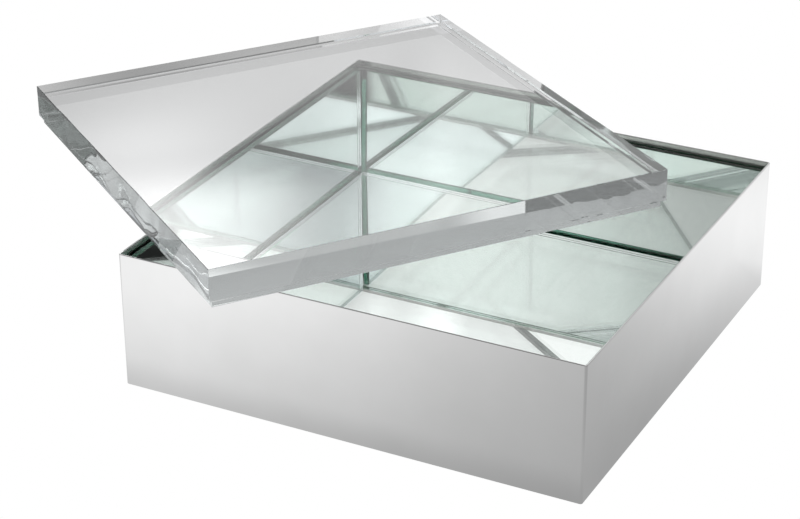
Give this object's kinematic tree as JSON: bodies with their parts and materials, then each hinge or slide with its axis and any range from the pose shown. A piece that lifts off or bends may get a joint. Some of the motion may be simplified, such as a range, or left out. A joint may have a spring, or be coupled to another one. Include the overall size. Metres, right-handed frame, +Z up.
{
  "type": "lidded box",
  "caption": "Square mirror-polished steel box lined with mirror glass, with a loose thick clear glass lid lying turned across its rim.",
  "frame": {"origin": "centre of the box on the table top that its felt stands on", "axes": "+Z up out of the box, +X along the front wall to the right, +Y from the front wall to the back wall"},
  "size_m": [0.4344, 0.4016, 0.1088],
  "materials": {
    "polished_steel": "mirror-polished stainless steel sheet",
    "plate_steel": "mill-finish stainless steel plate",
    "mirror_glass": "float mirror glass with green seamed edges",
    "mounting_tape": "white double-sided foam tape",
    "felt": "black pressed felt",
    "clear_crystal": "clear polished crystal glass"
  },
  "bodies": {
    "box": {"case_walls": "polished_steel", "case_floor": "plate_steel", "mirror_front": "mirror_glass", "mirror_right": "mirror_glass", "mirror_back": "mirror_glass", "mirror_left": "mirror_glass", "mirror_floor": "mirror_glass", "tape_front_low": "mounting_tape", "tape_front_high": "mounting_tape", "tape_right_low": "mounting_tape", "tape_right_high": "mounting_tape", "tape_back_low": "mounting_tape", "tape_back_high": "mounting_tape", "tape_left_low": "mounting_tape", "tape_left_high": "mounting_tape", "tape_floor_front": "mounting_tape", "tape_floor_middle": "mounting_tape", "tape_floor_back": "mounting_tape", "base_felt": "felt"},
    "lid": {"lid": "clear_crystal"}
  },
  "joints": [
    {"name": "lid_lift", "type": "slide", "parent": "box", "child": "lid", "axis": [0, 0, 1], "range_m": [0, 0.15]}
  ]
}
